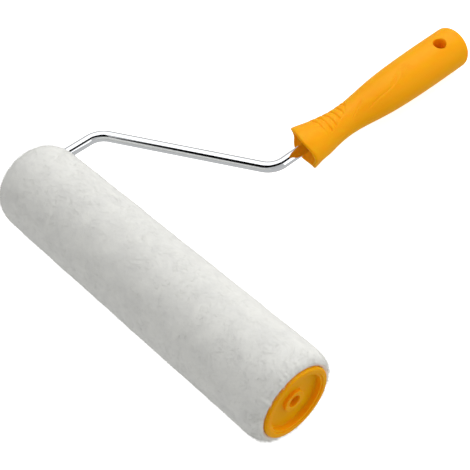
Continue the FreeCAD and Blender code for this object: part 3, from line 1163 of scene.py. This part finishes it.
    def build(self, material: bpy.types.Material) -> None:
        """Builds the shell, cuts the hang hole and dresses the handle.

        Args:
            material: The moulded plastic.
        """
        handle = self.shell()
        cutter = self.hole_cutter()
        cut = handle.modifiers.new("hang_hole", "BOOLEAN")
        cut.operation = "DIFFERENCE"
        cut.solver = "EXACT"
        cut.object = cutter
        bpy.context.view_layer.update()
        drilled = bpy.data.meshes.new_from_object(handle.evaluated_get(bpy.context.evaluated_depsgraph_get()))
        handle.modifiers.clear()
        handle.data = drilled
        bpy.data.objects.remove(cutter)
        drilled.shade_smooth()
        drilled.set_sharp_from_angle(angle=math.radians(50))
        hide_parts("handle_grip")
        dress(handle, material, Body.FRAME)


# ---------------------------------------------------------------- kept parts and the studio


def dress_kept_parts() -> None:
    """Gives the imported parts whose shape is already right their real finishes."""
    finishes = {
        "core_tube": (ExtrudedPolypropylene(), "core"),
        "stop_collar": (MouldedNylon(), "collar"),
        "retaining_clip": (TemperedSpringSteel(), "clip"),
    }
    for node, (finish, slot) in finishes.items():
        part = frame["nodes"][node]
        material = finish.material()
        if not part.material_slots:
            part.data.materials.append(material)
        for place in part.material_slots:
            place.material = material
        LOG.info("%s: packed shape kept, finish %s", node, finish.name)


@dataclass
class Studio:
    """A white floor, a large soft key light overhead, a pale room, two cards and the camera."""

    floor_size: float = 12.0
    key_direction: tuple[float, float, float] = (-0.12, 0.64, 0.77)
    key_distance: float = 1.6
    key_size: float = 1.2
    key_power: float = 13.5
    fill_direction: tuple[float, float, float] = (0.75, 0.62, 0.2)
    fill_distance: float = 0.85
    fill_size: float = 0.6
    fill_power: float = 1.6
    sky_above: float = 0.58
    sky_below: float = 0.63
    card_height: float = 1.0
    shade_card: tuple = (
        (-0.22, -0.45), (0.2, -0.1), (0.14, 0.5), (0.12, 0.95), (1.0, 1.0),
        (1.1, -0.3), (1.0, -1.3), (0.35, -2.0), (-0.05, -1.5),
    )
    reflection_card: tuple = ((-0.2, -0.45), (0.15, -0.1), (0.12, 1.2), (-1.6, 1.2), (-1.6, -0.45))
    camera_azimuth: float = 52.092
    camera_elevation: float = 48.898
    camera_roll: float = 6.752
    camera_distance: float = 706.73
    camera_target: tuple[float, float, float] = (14.83, -80.78, 32.5)
    lens: float = 82.78

    def build_floor(self) -> None:
        """Lays the floor under the roller's lowest point; the room's own light stands for what it bounces."""
        half = self.floor_size / 2
        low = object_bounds()[0].z
        mesh = bpy.data.meshes.new("studio_floor")
        corners = [(-half, -half, low), (half, -half, low), (half, half, low), (-half, half, low)]
        mesh.from_pydata(corners, [], [(0, 1, 2, 3)])
        mesh.materials.append(PaintedFloor().material())
        floor = bpy.data.objects.new("studio_floor", mesh)
        floor.visible_diffuse = False
        floor.visible_glossy = False
        bpy.context.scene.collection.objects.link(floor)
        floor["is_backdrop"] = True

    def hang_card(self, name: str, outline: tuple, tone: str, glow: float) -> None:
        """Hangs a level card over the roller that only mirrors see.

        The dark card is painted shade: the chrome shows it, standing for the unlit side of the room, as the
        thin black line down each straight. The pale card glows as a painted reflection, which the chrome
        shows as the white band beside it.

        Args:
            name: The card's name.
            outline: Its corners as shares of the height it hangs at.
            tone: Its colour.
            glow: How brightly it glows.
        """
        mesh = bpy.data.meshes.new(name)
        corners = [(x * self.card_height, y * self.card_height, self.card_height) for x, y in outline]
        mesh.from_pydata(corners, [], [tuple(range(len(corners)))])
        material, tree, _ = new_material(name)
        settings = {"Base Color": linear(tone), "Roughness": 1.0, "Specular IOR Level": 0.0}
        finish_material(tree, {**settings, "Emission Color": linear(tone), "Emission Strength": glow}, {})
        mesh.materials.append(material)
        card = bpy.data.objects.new(name, mesh)
        card.visible_camera = False
        card.visible_diffuse = False
        card.visible_shadow = False
        card.visible_transmission = False
        bpy.context.scene.collection.objects.link(card)
        card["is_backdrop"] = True

    def build_light(self) -> None:
        """Sets the room's soft light, a little brighter below as a pale floor gives, and the lamps."""
        world = bpy.data.worlds.new("studio_room")
        world.use_nodes = True
        tree = world.node_tree
        tree.nodes.clear()
        place = add_node(tree, "ShaderNodeTexCoord").outputs["Generated"]
        split = add_node(tree, "ShaderNodeSeparateXYZ", links={0: place})
        share = add_node(
            tree,
            RANGE,
            {"From Min": -0.3, "From Max": 0.3, "To Min": self.sky_below, "To Max": self.sky_above},
            {"Value": split.outputs["Z"]},
        )
        room = add_node(tree, "ShaderNodeBackground", {"Color": (1, 1, 1, 1)}, {"Strength": share.outputs[0]})
        add_node(tree, "ShaderNodeOutputWorld", links={"Surface": room.outputs[0]})
        bpy.context.scene.world = world
        self.hang_lamp("key_light", self.key_direction, self.key_distance, self.key_size, self.key_power)
        self.hang_lamp("fill_light", self.fill_direction, self.fill_distance, self.fill_size, self.fill_power)

    def hang_lamp(self, name: str, way: tuple, distance: float, size: float, power: float) -> None:
        """Hangs one square soft box facing the roller.

        Args:
            name: The lamp's name.
            way: Direction from the roller to the lamp.
            distance: How far away it hangs, in metres.
            size: Its side in metres.
            power: Its power in watts.
        """
        lamp = bpy.data.lights.new(name, "AREA")
        lamp.shape = "SQUARE"
        lamp.size = size
        lamp.energy = power
        box = bpy.data.objects.new(name, lamp)
        direction = Vector(way).normalized()
        box.location = direction * distance
        box.rotation_euler = direction.to_track_quat("Z", "Y").to_euler()
        bpy.context.scene.collection.objects.link(box)

    def build_camera(self) -> None:
        """Stands the camera at its angle round the roller and rolls it a little."""
        turn, rise, roll = (
            math.radians(a) for a in (self.camera_azimuth, self.camera_elevation, self.camera_roll)
        )
        back = Vector((math.sin(turn) * math.cos(rise), -math.cos(turn) * math.cos(rise), math.sin(rise)))
        level = Vector((0, 0, 1)).cross(back).normalized()
        upright = back.cross(level)
        right = level * math.cos(roll) - upright * math.sin(roll)
        up = upright * math.cos(roll) + level * math.sin(roll)
        data = bpy.data.cameras.new("camera")
        data.lens = self.lens
        data.sensor_width = 36.0
        data.clip_start = 0.01
        camera = bpy.data.objects.new("camera", data)
        place = Vector(self.camera_target) * MM + back * self.camera_distance * MM
        camera.matrix_world = Matrix.Translation(place) @ Matrix((right, up, back)).transposed().to_4x4()
        bpy.context.scene.collection.objects.link(camera)
        bpy.context.scene.camera = camera

    def build(self) -> None:
        """Builds the floor, the cards, the lights and the camera."""
        bpy.context.scene.view_settings.view_transform = "Standard"
        self.build_floor()
        # Two cards that only mirrors see: painted shade (dark) and a painted reflection (glowing pale).
        self.hang_card("studio_card_painted_shade", self.shade_card, "#0A0A0A", 0.0)
        self.hang_card("studio_card_painted_reflection", self.reflection_card, "#FFFFFF", 1.0)
        self.build_light()
        self.build_camera()


def main() -> None:
    """Builds the roller piece by piece, then the studio."""
    logging.basicConfig(level=logging.INFO, format="%(message)s")
    bar_radius = 4.0
    layout = Layout.from_frame(bar_radius)
    orange = MouldedPolypropylene().material()
    PlushSleeve(layout).build()
    EndCap(layout, End.FREE, "outer_end_cap", web_depth=4.6, boss_depth=2.2, hub_length=22.0).build(orange)
    EndCap(layout, End.ARM, "inner_end_cap", web_depth=9.5, boss_depth=7.4, hub_length=20.0).build(orange)
    FrameBar(layout, radius=bar_radius).build()
    HandleGrip(layout).build(orange)
    dress_kept_parts()
    Studio().build()


if __name__ == "__main__":
    main()
